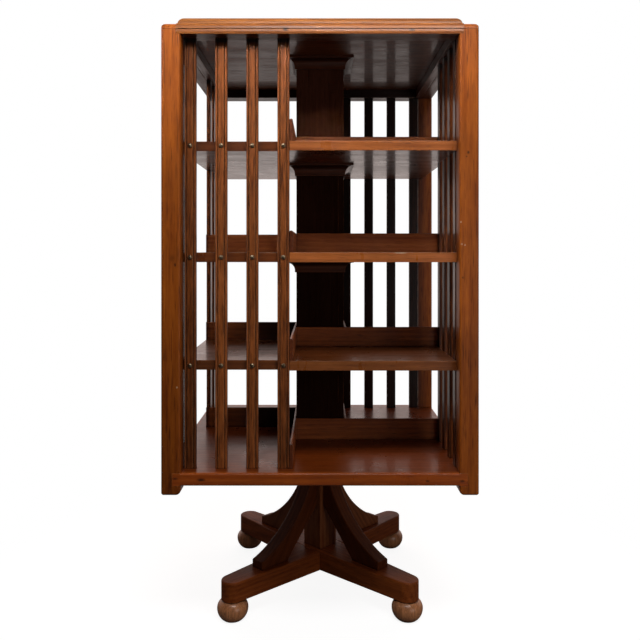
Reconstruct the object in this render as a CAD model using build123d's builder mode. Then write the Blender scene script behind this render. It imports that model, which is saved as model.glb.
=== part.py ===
"""Revolving bookcase: a square four-tier case that turns on a spindle over a cross base."""

import os
from math import sqrt

from build123d import *

os.makedirs("parts", exist_ok=True)

# Sizes of the case as a whole, in millimetres
case_width = 610.0
tier_clears = (192.0, 193.0, 199.6, 200.5)  # clear heights from the bottom tier to the top one
quarter_turns = 4
cut_overrun = 2.0

# Corner posts
post_side = 37.5
post_drop = 17.9  # how far a post reaches below the bottom board
post_rise = 21.7  # how far a post head stands above the rails' underside
post_head_side = 29.0
post_board_side = 21.7  # what is left of the post where the bottom board is let in
post_arris = 5.0
post_head_round = 12.0
post_toe_round = 9.5
post_heel_round = 4.0
post_line_depth = 0.6  # the rails' quirk carries on round the post head as a fine line

# Boards
bottom_thickness = 24.5
bottom_edge_round = 4.0
shelf_thickness = 19.0
top_thickness = 20.4
top_setback = 26.0
top_edge_round = 15.0
top_corner_round = 3.0

# Moulded rails under the top board
rail_height = 21.7
rail_width = 45.0
rail_bead_height = 9.4
rail_bead_swell = 0.9
rail_quirk_width = 0.9
rail_quirk_depth = 1.3
rail_ovolo_setback = 5.0
rail_joint_setback = 27.0  # where the moulding ends and the rail behind it begins, on the underside
rail_joint_width = 1.2
rail_joint_depth = 1.6

# Slats
slats_per_face = 4
slat_width = 23.5
slat_thickness = 10.0
slat_post_gap = 1.35
slat_setback = 29.0  # from the case's outer face to the slats' faces
slat_bead_width = 4.6
slat_quirk_width = 1.8
slat_quirk_depth = 1.8
slat_bead_round = 2.2
slat_strip_gap = 0.4

# Round-head screws that hold the slats to the shelf edges
screw_head_radius = 4.6
screw_head_height = 3.1
screw_shank_radius = 1.9
screw_length = 30.0
screw_clearance = 0.1

# Hollow column in the middle, with a low strip on each face and a cove under each board
column_side = 107.0
column_wall = 12.0
strip_thickness = 6.0
strip_height = 43.0
bottom_strip_height = 47.0
strip_top_round = 2.0
cove_reach = 22.0
cove_height = 26.0
cove_fillet = 4.0
cove_ledge = 3.5
cove_bow_share = 0.7071  # how far the hollow bows towards the corner, at its middle

# Spindle and bearings
spindle_radius = 11.0
spindle_seat_depth = 150.0
spindle_point_length = 14.0
spindle_point_radius = 3.0
spindle_hole_radius = 17.0
running_clearance = 0.05
seat_clearance = 0.1
pivot_gap = 0.3
flange_radius = 24.0
flange_thickness = 4.0
flange_gap = 1.4
collar_radius = 40.0
collar_flange = 4.0
collar_sleeve_radius = 18.0
cup_radius = 32.0
cup_thickness = 9.0
cup_depth = 5.0
cup_mouth_radius = 7.0
bearing_screw_radius = 1.6
bearing_screw_head_radius = 3.2
bearing_screw_head_height = 1.8
bearing_screw_length = 14.0
flange_screw_circle_radius = 17.5
collar_screw_circle_radius = 31.0
cup_screw_circle_radius = 22.0

# Base
foot_height = 42.0
foot_radius = 32.5
foot_neck_radius = 18.5
foot_base_radius = 20.5
foot_widest_share = 0.55  # height of the widest point as a share of the foot's height
foot_circle_radius = 257.5  # distance of each foot from the axis
foot_spigot_radius = 10.0
foot_spigot_length = 18.0
bar_thickness = 40.0
bar_end_radius = 24.0
bar_waist_half = 41.0
bar_arris = 3.0
centre_post_side = 52.4
centre_post_height = 224.0
centre_post_tenon_radius = 15.0
centre_post_tenon_length = 30.0
brace_thickness = 32.0
brace_curve_radius = 240.0
brace_top_reach = 30.0
brace_nose_reach = 191.0
brace_nose_height = 16.8
brace_foot_reach = 117.5
brace_arris = 2.0
brace_crotch_height = 101.0  # where the inner edge meets the centre post, above the bars

# Levels worked out from the sizes above
bar_underside = foot_height
bar_top = bar_underside + bar_thickness
centre_post_top = bar_top + centre_post_height
flange_top = centre_post_top + flange_thickness
case_underside = flange_top + flange_gap + collar_flange
bottom_top = case_underside + bottom_thickness
shelf_undersides = []
tier_floors = [bottom_top]
for tier_clear in tier_clears[:-1]:
    shelf_undersides.append(tier_floors[-1] + tier_clear)
    tier_floors.append(shelf_undersides[-1] + shelf_thickness)
rail_underside = tier_floors[-1] + tier_clears[-1]
top_underside = rail_underside + rail_height
tier_ceilings = shelf_undersides + [top_underside]
post_bottom = case_underside - post_drop
post_top = rail_underside + post_rise

# Places worked out from the sizes above, on the front face
outer = case_width / 2
post_inner = outer - post_side
post_middle = outer - post_side / 2
slat_face = outer - slat_setback
slat_back = slat_face - slat_thickness
column_half = column_side / 2
strip_face = column_half + strip_thickness
rail_inner = outer - rail_width
rail_end = outer - post_head_side
board_notch = outer - post_board_side
slat_first = post_inner - slat_post_gap - slat_width / 2
slat_last = strip_face + slat_strip_gap + slat_width / 2
slat_pitch = (slat_first - slat_last) / (slats_per_face - 1)
slat_places = [-(slat_first - slat_pitch * number) for number in range(slats_per_face)]
screw_levels = [level + shelf_thickness / 2 for level in shelf_undersides]
screw_hole_radius = screw_shank_radius + screw_clearance
screw_hole_depth = screw_length + screw_clearance


def quarter_plane(turn, height=0.0, along=0.0):
    # Lies flat, turned so that its -y side is the face: along is a shift along that face
    flat = Plane.XY.rotated((0, 0, 90 * turn))
    return Plane(
        origin=flat.from_local_coords(Vector(along, 0, height)), x_dir=flat.x_dir, z_dir=flat.z_dir
    )


def face_plane(turn, distance):
    # Looks out of the case through one face: x runs along the face, y runs up
    return Plane.XZ.rotated((0, 0, 90 * turn)).offset(distance)


def section_plane(turn):
    # Cuts across one face: x runs out of the face, y runs up
    return Plane.YZ.rotated((0, 0, 90 * turn))


def diagonal_plane(number):
    # Stands on a diagonal of the base: x runs outwards, y runs up
    return Plane.XZ.rotated((0, 0, 45 + 90 * number))


# Bun feet, each turned with a spigot that enters the bar above
foot_widest = foot_height * foot_widest_share
foot_corner = foot_circle_radius / sqrt(2)
foot_spigot_top = foot_height + foot_spigot_length
foot_corners = GridLocations(2 * foot_corner, 2 * foot_corner, 2, 2).locations
for number, corner in enumerate(foot_corners):
    with BuildPart() as bun_foot:
        with BuildSketch(Plane(origin=corner.position, x_dir=(1, 0, 0), z_dir=(0, -1, 0))):
            with BuildLine():
                Line((0, 0), (foot_base_radius, 0))
                TangentArc((foot_radius, foot_widest), (foot_base_radius, 0), tangent=(0, -1))
                TangentArc((foot_radius, foot_widest), (foot_neck_radius, foot_height), tangent=(0, 1))
                Polyline(
                    (foot_neck_radius, foot_height),
                    (foot_spigot_radius, foot_height),
                    (foot_spigot_radius, foot_spigot_top),
                    (0, foot_spigot_top),
                    (0, 0),
                )
            make_face()
        revolve(axis=Axis(corner.position, (0, 0, 1)))
    bun_foot.part.label = f"bun_foot_{number + 1}"
    export_step(bun_foot.part, f"parts/bun_foot_{number + 1}.step")


def bar_outline(plane):
    # A bar that tapers from its waist to round ends over the feet
    with BuildSketch(plane) as outline:
        with Locations((-foot_circle_radius, 0), (foot_circle_radius, 0)):
            Circle(bar_end_radius)
        with BuildLine():
            Polyline(
                (-foot_circle_radius, bar_end_radius),
                (0, bar_waist_half),
                (foot_circle_radius, bar_end_radius),
                (foot_circle_radius, -bar_end_radius),
                (0, -bar_waist_half),
                (-foot_circle_radius, -bar_end_radius),
                close=True,
            )
        make_face()
    return outline.sketch


# Two crossing bars, half-lapped at the middle, with sockets for the feet and the centre post
lap_level = bar_underside + bar_thickness / 2
for number in range(2):
    along = Plane.XY.rotated((0, 0, 45 + 90 * number))
    across = Plane.XY.rotated((0, 0, 135 + 90 * number))
    lap_start = lap_level if number == 0 else bar_underside
    with BuildPart() as cross_bar:
        extrude(bar_outline(along.offset(bar_underside)), amount=bar_thickness)
        fillet(cross_bar.faces().sort_by(Axis.Z)[-1].edges(), radius=bar_arris)
        extrude(
            bar_outline(across.offset(lap_start)),
            amount=bar_thickness / 2,
            mode=Mode.SUBTRACT,
        )
        with BuildSketch(along.offset(bar_underside)):
            with Locations((-foot_circle_radius, 0), (foot_circle_radius, 0)):
                Circle(foot_spigot_radius + seat_clearance)
        extrude(amount=foot_spigot_length + seat_clearance, mode=Mode.SUBTRACT)
        with BuildSketch(along.offset(bar_top)):
            Circle(centre_post_tenon_radius + seat_clearance)
        extrude(amount=-centre_post_tenon_length - seat_clearance, mode=Mode.SUBTRACT)
    cross_bar.part.label = f"cross_bar_{number + 1}"
    export_step(cross_bar.part, f"parts/cross_bar_{number + 1}.step")

# Square centre post, set corner to the front, tenoned into the bars and bored for the spindle
with BuildPart() as centre_post:
    with BuildSketch(Plane.XY.rotated((0, 0, 45)).offset(bar_top)):
        Rectangle(centre_post_side, centre_post_side)
    extrude(amount=centre_post_height)
    with BuildSketch(Plane.XY.offset(bar_top)):
        Circle(centre_post_tenon_radius)
    extrude(amount=-centre_post_tenon_length)
    with BuildSketch(Plane.XY.offset(centre_post_top)):
        Circle(spindle_radius + seat_clearance)
    extrude(amount=-spindle_seat_depth, mode=Mode.SUBTRACT)
    with BuildSketch(Plane.XY.offset(centre_post_top)):
        with PolarLocations(flange_screw_circle_radius, quarter_turns):
            Circle(bearing_screw_radius + screw_clearance)
    extrude(amount=-bearing_screw_length, mode=Mode.SUBTRACT)
centre_post.part.label = "centre_post"
export_step(centre_post.part, "parts/centre_post.step")

# Curved braces between the centre post and the bars
brace_inner = centre_post_side / 2
brace_centre_reach = brace_top_reach + brace_curve_radius
brace_nose_level = bar_top + brace_nose_height
brace_centre_level = brace_nose_level + sqrt(
    brace_curve_radius**2 - (brace_centre_reach - brace_nose_reach) ** 2
)
brace_top_edge = brace_centre_reach - sqrt(
    brace_curve_radius**2 - (brace_centre_level - centre_post_top) ** 2
)
brace_middle_reach = (brace_top_edge + brace_nose_reach) / 2
brace_middle_level = brace_centre_level - sqrt(
    brace_curve_radius**2 - (brace_centre_reach - brace_middle_reach) ** 2
)
for number in range(quarter_turns):
    with BuildPart() as brace:
        with BuildSketch(diagonal_plane(number)):
            with BuildLine():
                ThreePointArc(
                    (brace_top_edge, centre_post_top),
                    (brace_middle_reach, brace_middle_level),
                    (brace_nose_reach, brace_nose_level),
                )
                Polyline(
                    (brace_nose_reach, brace_nose_level),
                    (brace_nose_reach, bar_top),
                    (brace_foot_reach, bar_top),
                    (brace_inner, bar_top + brace_crotch_height),
                    (brace_inner, centre_post_top),
                    (brace_top_edge, centre_post_top),
                )
            make_face()
        extrude(amount=brace_thickness / 2, both=True)
        fillet(brace.faces().filter_by(GeomType.CYLINDER).edges().filter_by(GeomType.CIRCLE), radius=brace_arris)
    brace.part.label = f"brace_{number + 1}"
    export_step(brace.part, f"parts/brace_{number + 1}.step")

# Iron spindle, planted in the centre post and pointed at its top
spindle_foot = centre_post_top - spindle_seat_depth
cup_underside = top_underside - cup_thickness
spindle_tip = cup_underside + cup_depth - pivot_gap
with BuildPart() as spindle:
    with BuildSketch(Plane.XZ):
        with BuildLine():
            Polyline(
                (0, spindle_foot),
                (spindle_radius, spindle_foot),
                (spindle_radius, spindle_tip - spindle_point_length),
                (spindle_point_radius, spindle_tip),
                (0, spindle_tip),
                close=True,
            )
        make_face()
    revolve(axis=Axis.Z)
spindle.part.label = "spindle"
export_step(spindle.part, "parts/spindle.step")

# Iron flange that holds the spindle upright on the centre post
with BuildPart() as spindle_flange:
    with BuildSketch(Plane.XY.offset(centre_post_top)):
        Circle(flange_radius)
        Circle(spindle_radius + seat_clearance, mode=Mode.SUBTRACT)
        with PolarLocations(flange_screw_circle_radius, quarter_turns):
            Circle(bearing_screw_radius + screw_clearance, mode=Mode.SUBTRACT)
    extrude(amount=flange_thickness - bearing_screw_head_height)
    with BuildSketch(Plane.XY.offset(flange_top - bearing_screw_head_height)):
        Circle(flange_radius)
        Circle(spindle_radius + seat_clearance, mode=Mode.SUBTRACT)
        with PolarLocations(flange_screw_circle_radius, quarter_turns):
            Circle(bearing_screw_head_radius + screw_clearance, mode=Mode.SUBTRACT)
    extrude(amount=bearing_screw_head_height)
spindle_flange.part.label = "spindle_flange"
export_step(spindle_flange.part, "parts/spindle_flange.step")


def bearing_screws(seat, point, circle):
    # Four flat-head screws whose heads end at the seat level, on the side away from the point
    direction = 1 if point > seat else -1
    with BuildPart() as screws:
        with BuildSketch(Plane.XY.offset(seat)):
            with PolarLocations(circle, quarter_turns):
                Circle(bearing_screw_head_radius)
        extrude(amount=direction * bearing_screw_head_height)
        with BuildSketch(Plane.XY.offset(seat)):
            with PolarLocations(circle, quarter_turns):
                Circle(bearing_screw_radius)
        extrude(amount=direction * bearing_screw_length)
    return screws.part


flange_screws = bearing_screws(flange_top, centre_post_top, flange_screw_circle_radius)
flange_screws.label = "spindle_flange_screws"
export_step(flange_screws, "parts/spindle_flange_screws.step")

# Bottom board, flush with the posts, its rim rounded between them and square where it is let in
with BuildPart() as bottom_board:
    with BuildSketch(Plane.XY.offset(case_underside)):
        Rectangle(case_width, case_width)
        with GridLocations(2 * outer, 2 * outer, 2, 2):
            Rectangle(2 * post_board_side, 2 * post_board_side, mode=Mode.SUBTRACT)
    extrude(amount=bottom_thickness)
    board_rims = bottom_board.edges().filter_by(
        lambda edge: max(abs(edge.center().X), abs(edge.center().Y)) > outer - seat_clearance
        and abs(edge.tangent_at(0).Z) < seat_clearance
    )
    fillet(board_rims, radius=bottom_edge_round)
    with BuildSketch(Plane.XY.offset(case_underside)):
        with GridLocations(2 * post_middle, 2 * post_middle, 2, 2):
            Rectangle(post_side, post_side)
        with GridLocations(2 * outer, 2 * outer, 2, 2):
            Rectangle(2 * post_board_side, 2 * post_board_side, mode=Mode.SUBTRACT)
    extrude(amount=bottom_thickness)
    with BuildSketch(Plane.XY.offset(case_underside)):
        Circle(collar_sleeve_radius + seat_clearance)
    extrude(amount=bottom_thickness, mode=Mode.SUBTRACT)
    with BuildSketch(Plane.XY.offset(case_underside)):
        with PolarLocations(collar_screw_circle_radius, quarter_turns):
            Circle(bearing_screw_radius + screw_clearance)
    extrude(amount=bearing_screw_length, mode=Mode.SUBTRACT)
bottom_board.part.label = "bottom_board"
export_step(bottom_board.part, "parts/bottom_board.step")

# Guide collar: a flanged iron sleeve in the bottom board that runs on the spindle
collar_underside = case_underside - collar_flange
with BuildPart() as guide_collar:
    with BuildSketch(Plane.XY.offset(collar_underside)):
        Circle(collar_radius)
        with PolarLocations(collar_screw_circle_radius, quarter_turns):
            Circle(bearing_screw_head_radius + screw_clearance, mode=Mode.SUBTRACT)
    extrude(amount=bearing_screw_head_height)
    with BuildSketch(Plane.XY.offset(collar_underside + bearing_screw_head_height)):
        Circle(collar_radius)
        with PolarLocations(collar_screw_circle_radius, quarter_turns):
            Circle(bearing_screw_radius + screw_clearance, mode=Mode.SUBTRACT)
    extrude(amount=collar_flange - bearing_screw_head_height)
    with BuildSketch(Plane.XY.offset(case_underside)):
        Circle(collar_sleeve_radius)
    extrude(amount=bottom_thickness)
    with BuildSketch(Plane.XY.offset(collar_underside)):
        Circle(spindle_radius + running_clearance)
    extrude(amount=collar_flange + bottom_thickness, mode=Mode.SUBTRACT)
guide_collar.part.label = "guide_collar"
export_step(guide_collar.part, "parts/guide_collar.step")

# Three shelves: pinwheel boards, cut back on half of each edge to take the slats
slat_run_outer = post_inner
slat_run_inner = strip_face + slat_strip_gap / 2
slat_run_middle = -(slat_run_outer + slat_run_inner) / 2
for number, shelf_underside in enumerate(shelf_undersides):
    with BuildPart() as shelf:
        with BuildSketch(Plane.XY.offset(shelf_underside)):
            Rectangle(2 * slat_face, 2 * slat_face)
            Circle(spindle_hole_radius, mode=Mode.SUBTRACT)
        extrude(amount=shelf_thickness)
        for turn in range(quarter_turns):
            with BuildSketch(quarter_plane(turn, shelf_underside)):
                with Locations((slat_run_middle, -slat_face)):
                    Rectangle(slat_run_outer - slat_run_inner, 2 * slat_thickness)
            extrude(amount=shelf_thickness, mode=Mode.SUBTRACT)
            with BuildSketch(face_plane(turn, slat_back)):
                with Locations(*[(place, screw_levels[number]) for place in slat_places]):
                    Circle(screw_hole_radius)
            extrude(amount=slat_thickness - screw_hole_depth, mode=Mode.SUBTRACT)
    shelf.part.label = f"shelf_{number + 1}"
    export_step(shelf.part, f"parts/shelf_{number + 1}.step")

# Top board on the rails, its upper edge rounded over
top_half = outer - top_setback
with BuildPart() as top_board:
    with BuildSketch(Plane.XY.offset(top_underside)):
        RectangleRounded(2 * top_half, 2 * top_half, top_corner_round)
    extrude(amount=top_thickness)
    fillet(top_board.faces().sort_by(Axis.Z)[-1].edges(), radius=top_edge_round)
    with BuildSketch(Plane.XY.offset(top_underside)):
        with PolarLocations(cup_screw_circle_radius, quarter_turns):
            Circle(bearing_screw_radius + screw_clearance)
    extrude(amount=bearing_screw_length - cup_thickness, mode=Mode.SUBTRACT)
top_board.part.label = "top_board"
export_step(top_board.part, "parts/top_board.step")

# Pivot cup under the top board, which rides on the spindle's point
with BuildPart() as pivot_cup:
    with BuildSketch(Plane.XY.offset(cup_underside)):
        Circle(cup_radius)
        with PolarLocations(cup_screw_circle_radius, quarter_turns):
            Circle(bearing_screw_head_radius + screw_clearance, mode=Mode.SUBTRACT)
    extrude(amount=bearing_screw_head_height)
    with BuildSketch(Plane.XY.offset(cup_underside + bearing_screw_head_height)):
        Circle(cup_radius)
        with PolarLocations(cup_screw_circle_radius, quarter_turns):
            Circle(bearing_screw_radius + screw_clearance, mode=Mode.SUBTRACT)
    extrude(amount=cup_thickness - bearing_screw_head_height)
    with BuildSketch(Plane.XZ):
        with BuildLine():
            Polyline(
                (0, cup_underside),
                (cup_mouth_radius + pivot_gap, cup_underside),
                (spindle_point_radius + pivot_gap, cup_underside + cup_depth),
                (0, cup_underside + cup_depth),
                close=True,
            )
        make_face()
    revolve(axis=Axis.Z, mode=Mode.SUBTRACT)
pivot_cup.part.label = "pivot_cup"
export_step(pivot_cup.part, "parts/pivot_cup.step")

case_screws = Compound(
    children=[
        bearing_screws(collar_underside, bottom_top, collar_screw_circle_radius),
        bearing_screws(cup_underside, top_underside, cup_screw_circle_radius),
    ]
)
case_screws.label = "case_bearing_screws"
export_step(case_screws, "parts/case_bearing_screws.step")

# Moulded rails under the top board, mitred to each other behind the post heads
rail_quirk_low = rail_underside + rail_bead_height
rail_quirk_high = rail_quirk_low + rail_quirk_width
rail_bead_face = outer - rail_bead_swell
rail_joint_outer = outer - rail_joint_setback
rail_joint_inner = rail_joint_outer - rail_joint_width
rail_joint_top = rail_underside + rail_joint_depth
for turn in range(quarter_turns):
    with BuildPart() as top_rail:
        with BuildSketch(section_plane(turn)):
            with BuildLine():
                Polyline(
                    (-rail_inner, top_underside),
                    (-rail_inner, rail_underside),
                    (-rail_joint_inner, rail_underside),
                    (-rail_joint_inner, rail_joint_top),
                    (-rail_joint_outer, rail_joint_top),
                    (-rail_joint_outer, rail_underside),
                    (-rail_bead_face, rail_underside),
                )
                ThreePointArc(
                    (-rail_bead_face, rail_underside),
                    (-outer, rail_underside + rail_bead_height / 2),
                    (-rail_bead_face, rail_quirk_low),
                )
                Polyline(
                    (-rail_bead_face, rail_quirk_low),
                    (-outer + rail_quirk_depth, rail_quirk_low),
                    (-outer + rail_quirk_depth, rail_quirk_high),
                    (-outer, rail_quirk_high),
                )
                TangentArc(
                    (-outer, rail_quirk_high),
                    (-outer + rail_ovolo_setback, top_underside),
                    tangent=(0, 1),
                )
                Line((-outer + rail_ovolo_setback, top_underside), (-rail_inner, top_underside))
            make_face()
        extrude(amount=rail_end, both=True)
        with BuildSketch(quarter_plane(turn, rail_underside)):
            with BuildLine():
                Polyline(
                    (-rail_end, -outer - cut_overrun),
                    (rail_end, -outer - cut_overrun),
                    (rail_end, -rail_end),
                    (rail_inner, -rail_inner),
                    (-rail_inner, -rail_inner),
                    (-rail_end, -rail_end),
                    close=True,
                )
            make_face()
        extrude(amount=rail_height, mode=Mode.INTERSECT)
    top_rail.part.label = f"top_rail_{turn + 1}"
    export_step(top_rail.part, f"parts/top_rail_{turn + 1}.step")

# Corner posts: housed for the shelves, cut back round the bottom board and the rails
for turn in range(quarter_turns):
    with BuildPart() as corner_post:
        with BuildSketch(quarter_plane(turn, post_bottom)):
            with Locations((-post_middle, -post_middle)):
                Rectangle(post_side, post_side)
        extrude(amount=post_top - post_bottom)
        outward = quarter_plane(turn).from_local_coords(Vector(-outer, -outer, 0))
        inward = -outward
        fillet(
            corner_post.edges().filter_by(Axis.Z).sort_by_distance(outward)[0],
            radius=post_arris,
        )
        toe_edges = corner_post.faces().sort_by(Axis.Z)[0].edges().sort_by_distance(inward)[:2]
        fillet(toe_edges, radius=post_toe_round)
        heel_edges = corner_post.faces().sort_by(Axis.Z)[0].edges().sort_by_distance(outward)[:3]
        fillet(heel_edges, radius=post_heel_round)
        with BuildSketch(quarter_plane(turn, rail_underside)):
            with Locations((-post_inner, -post_inner)):
                Rectangle(2 * (rail_end - post_inner), 2 * (outer + cut_overrun - post_inner))
                Rectangle(2 * (outer + cut_overrun - post_inner), 2 * (rail_end - post_inner))
        extrude(amount=post_rise, mode=Mode.SUBTRACT)
        with BuildSketch(quarter_plane(turn, case_underside)):
            with Locations((-post_inner, -post_inner)):
                Rectangle(2 * (board_notch - post_inner), 2 * (outer + cut_overrun - post_inner))
                Rectangle(2 * (outer + cut_overrun - post_inner), 2 * (board_notch - post_inner))
        extrude(amount=bottom_thickness, mode=Mode.SUBTRACT)
        for shelf_underside in shelf_undersides:
            with BuildSketch(quarter_plane(turn, shelf_underside)):
                with Locations((-post_inner, -post_inner)):
                    Rectangle(2 * (slat_face - post_inner), 2 * (slat_face - post_inner))
            extrude(amount=shelf_thickness, mode=Mode.SUBTRACT)
        for face, side in ((turn, -1), (turn + 3, 1)):
            with BuildSketch(face_plane(face, 0.0)):
                with Locations((side * outer, post_top)):
                    Rectangle(2 * post_head_round, 2 * post_head_round)
                with Locations((side * (outer - post_head_round), post_top - post_head_round)):
                    Circle(post_head_round, mode=Mode.SUBTRACT)
            extrude(amount=outer + cut_overrun, mode=Mode.SUBTRACT)
            with BuildSketch(face_plane(face, outer)):
                with Locations((side * post_middle, rail_quirk_low + rail_quirk_width / 2)):
                    Rectangle(post_side + cut_overrun, rail_quirk_width)
            extrude(amount=-post_line_depth, mode=Mode.SUBTRACT)
    corner_post.part.label = f"corner_post_{turn + 1}"
    export_step(corner_post.part, f"parts/corner_post_{turn + 1}.step")

# Reeded slats: a flat middle band between two quirks, with a bead along each edge
slat_half = slat_width / 2
band_half = slat_half - slat_bead_width - slat_quirk_width
quirk_outer = slat_half - slat_bead_width
bead_shoulder = slat_face - slat_bead_round
quirk_floor = slat_face - slat_quirk_depth
for turn in range(quarter_turns):
    for number, place in enumerate(slat_places):
        with BuildPart() as slat:
            with BuildSketch(quarter_plane(turn, bottom_top, place)):
                with BuildLine():
                    Polyline(
                        (-slat_half, -bead_shoulder),
                        (-slat_half, -slat_back),
                        (slat_half, -slat_back),
                        (slat_half, -bead_shoulder),
                    )
                    for side in (-1, 1):
                        ThreePointArc(
                            (side * slat_half, -bead_shoulder),
                            (side * (slat_half + quirk_outer) / 2, -slat_face),
                            (side * quirk_outer, -bead_shoulder),
                        )
                        Polyline(
                            (side * quirk_outer, -bead_shoulder),
                            (side * (quirk_outer + band_half) / 2, -quirk_floor),
                            (side * band_half, -slat_face),
                        )
                    Line((-band_half, -slat_face), (band_half, -slat_face))
                make_face()
            extrude(amount=rail_underside - bottom_top)
            with BuildSketch(face_plane(turn, slat_back)):
                with Locations(*[(place, level) for level in screw_levels]):
                    Circle(screw_hole_radius)
            extrude(amount=slat_thickness, mode=Mode.SUBTRACT)
        slat_number = turn * slats_per_face + number + 1
        slat.part.label = f"slat_{slat_number:02d}"
        export_step(slat.part, f"parts/slat_{slat_number:02d}.step")

# Round-head screws through the slats into the shelf edges, all of one pattern
with BuildPart() as slat_screw:
    with BuildSketch(Plane.XY):
        with BuildLine():
            Polyline(
                (0, -screw_head_height),
                (0, screw_length),
                (screw_shank_radius, screw_length),
                (screw_shank_radius, 0),
                (screw_head_radius, 0),
            )
            TangentArc((0, -screw_head_height), (screw_head_radius, 0), tangent=(1, 0))
        make_face()
    revolve(axis=Axis.Y)
slat_screws = Compound(
    children=[
        slat_screw.part.moved(
            quarter_plane(turn).location * Location((place, -slat_face, level))
        )
        for turn in range(quarter_turns)
        for place in slat_places
        for level in screw_levels
    ]
)
slat_screws.label = "slat_screws"
export_step(slat_screws, "parts/slat_screws.step")

# Hollow column: in each tier four boards, each butted against the next
board_length = column_side - column_wall
for tier in range(len(tier_clears)):
    column_boards = []
    for turn in range(quarter_turns):
        with BuildPart() as column_board:
            with BuildSketch(quarter_plane(turn, tier_floors[tier])):
                with Locations((-column_wall / 2, (column_wall - column_side) / 2)):
                    Rectangle(board_length, column_wall)
            extrude(amount=tier_ceilings[tier] - tier_floors[tier])
        column_boards.append(column_board.part)
    column = Compound(children=column_boards)
    column.label = f"column_{tier + 1}"
    export_step(column, f"parts/column_{tier + 1}.step")

# Low strips: one along each face of the column and out to the edge of the board it stands on
strip_length = slat_face + column_half
strip_shift = (slat_face - column_half) / 2
for tier in range(len(tier_clears)):
    strips = []
    for turn in range(quarter_turns):
        with BuildPart() as strip:
            with BuildSketch(quarter_plane(turn, tier_floors[tier])):
                with Locations((strip_shift, -(column_half + strip_face) / 2)):
                    Rectangle(strip_length, strip_thickness)
            extrude(amount=bottom_strip_height if tier == 0 else strip_height)
            strip_rim = strip.faces().sort_by(Axis.Z)[-1].edges().sort_by(SortBy.LENGTH)[-2:]
            fillet(strip_rim, radius=strip_top_round)
        strips.append(strip.part)
    tier_strips = Compound(children=strips)
    tier_strips.label = f"book_strips_{tier + 1}"
    export_step(tier_strips, f"parts/book_strips_{tier + 1}.step")

# Cove mouldings round the column's head in each tier, mitred at the corners
cove_edge = column_half + cove_reach
cove_lip = column_half + cove_ledge
cove_start = cove_edge - cove_ledge / 2
wedge = cove_edge + cut_overrun
for tier, ceiling in enumerate(tier_ceilings):
    hollow_top = ceiling - cove_fillet
    cove_foot = ceiling - cove_height
    hollow_foot = cove_foot + cove_ledge
    coves = []
    for turn in range(quarter_turns):
        with BuildPart() as cove:
            with BuildSketch(section_plane(turn)):
                with BuildLine():
                    Polyline(
                        (-cove_lip, hollow_foot),
                        (-cove_lip, cove_foot),
                        (-column_half, cove_foot),
                        (-column_half, ceiling),
                        (-cove_edge, ceiling),
                        (-cove_edge, hollow_top),
                        (-cove_start, hollow_top),
                    )
                    ThreePointArc(
                        (-cove_start, hollow_top),
                        (
                            -cove_start + (cove_start - cove_lip) * cove_bow_share,
                            hollow_foot + (hollow_top - hollow_foot) * cove_bow_share,
                        ),
                        (-cove_lip, hollow_foot),
                    )
                make_face()
            extrude(amount=wedge, both=True)
            with BuildSketch(quarter_plane(turn, cove_foot)):
                with BuildLine():
                    Polyline((0, 0), (wedge, -wedge), (-wedge, -wedge), close=True)
                make_face()
            extrude(amount=cove_height, mode=Mode.INTERSECT)
        coves.append(cove.part)
    tier_coves = Compound(children=coves)
    tier_coves.label = f"cove_mouldings_{tier + 1}"
    export_step(tier_coves, f"parts/cove_mouldings_{tier + 1}.step")
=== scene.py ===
import math
import random

import bmesh
import bpy
from mathutils import Matrix, Vector


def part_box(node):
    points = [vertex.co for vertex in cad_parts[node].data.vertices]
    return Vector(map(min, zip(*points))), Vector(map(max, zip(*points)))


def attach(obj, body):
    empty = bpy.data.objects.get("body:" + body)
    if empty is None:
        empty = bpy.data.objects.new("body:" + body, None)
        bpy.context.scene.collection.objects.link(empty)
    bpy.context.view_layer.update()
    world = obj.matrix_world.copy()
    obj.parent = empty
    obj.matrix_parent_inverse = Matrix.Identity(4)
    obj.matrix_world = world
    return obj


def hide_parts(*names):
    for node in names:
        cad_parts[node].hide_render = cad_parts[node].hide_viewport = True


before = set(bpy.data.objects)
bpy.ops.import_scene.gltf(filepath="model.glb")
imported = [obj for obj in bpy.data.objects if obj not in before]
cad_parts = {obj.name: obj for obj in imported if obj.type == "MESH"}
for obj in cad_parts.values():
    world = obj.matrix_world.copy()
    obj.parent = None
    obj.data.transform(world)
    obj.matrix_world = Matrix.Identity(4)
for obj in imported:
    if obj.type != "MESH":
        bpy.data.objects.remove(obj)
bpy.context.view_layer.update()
print("frame loaded:", len(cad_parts), "CAD pieces")

white = (1.0, 1.0, 1.0)
faceTurns = ((0, -1, 0), (1, 0, 0), (0, 1, 0), (-1, 0, 0))  # front, right, back, left


# puts a node in a tree; feeds are sockets to link or plain values to set
def put(tree, kind, feeds=None, **settings):
    node = tree.nodes.new(kind)
    for name, value in settings.items():
        setattr(node, name, value)
    for key, value in (feeds or {}).items():
        if isinstance(value, bpy.types.NodeSocket):
            tree.links.new(value, node.inputs[key])
        else:
            node.inputs[key].default_value = value
    return node


def math2(tree, operation, a, b=0.0, clamp=False):
    return put(tree, "ShaderNodeMath", {0: a, 1: b}, operation=operation, use_clamp=clamp).outputs[0]


def weighed(tree, a, aShare, b, bShare, clamp=False):
    return math2(tree, "ADD", math2(tree, "MULTIPLY", a, aShare), math2(tree, "MULTIPLY", b, bShare), clamp)


# lengths and dot products come out as values, the rest as vectors
def vectorMath(tree, operation, *feeds):
    node = put(tree, "ShaderNodeVectorMath", dict(enumerate(feeds)), operation=operation)
    return node.outputs["Value" if operation in ("LENGTH", "DOT_PRODUCT") else "Vector"]


def scaled(tree, colour, amount):
    return put(tree, "ShaderNodeVectorMath", {0: colour, "Scale": amount}, operation="SCALE").outputs[0]


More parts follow.
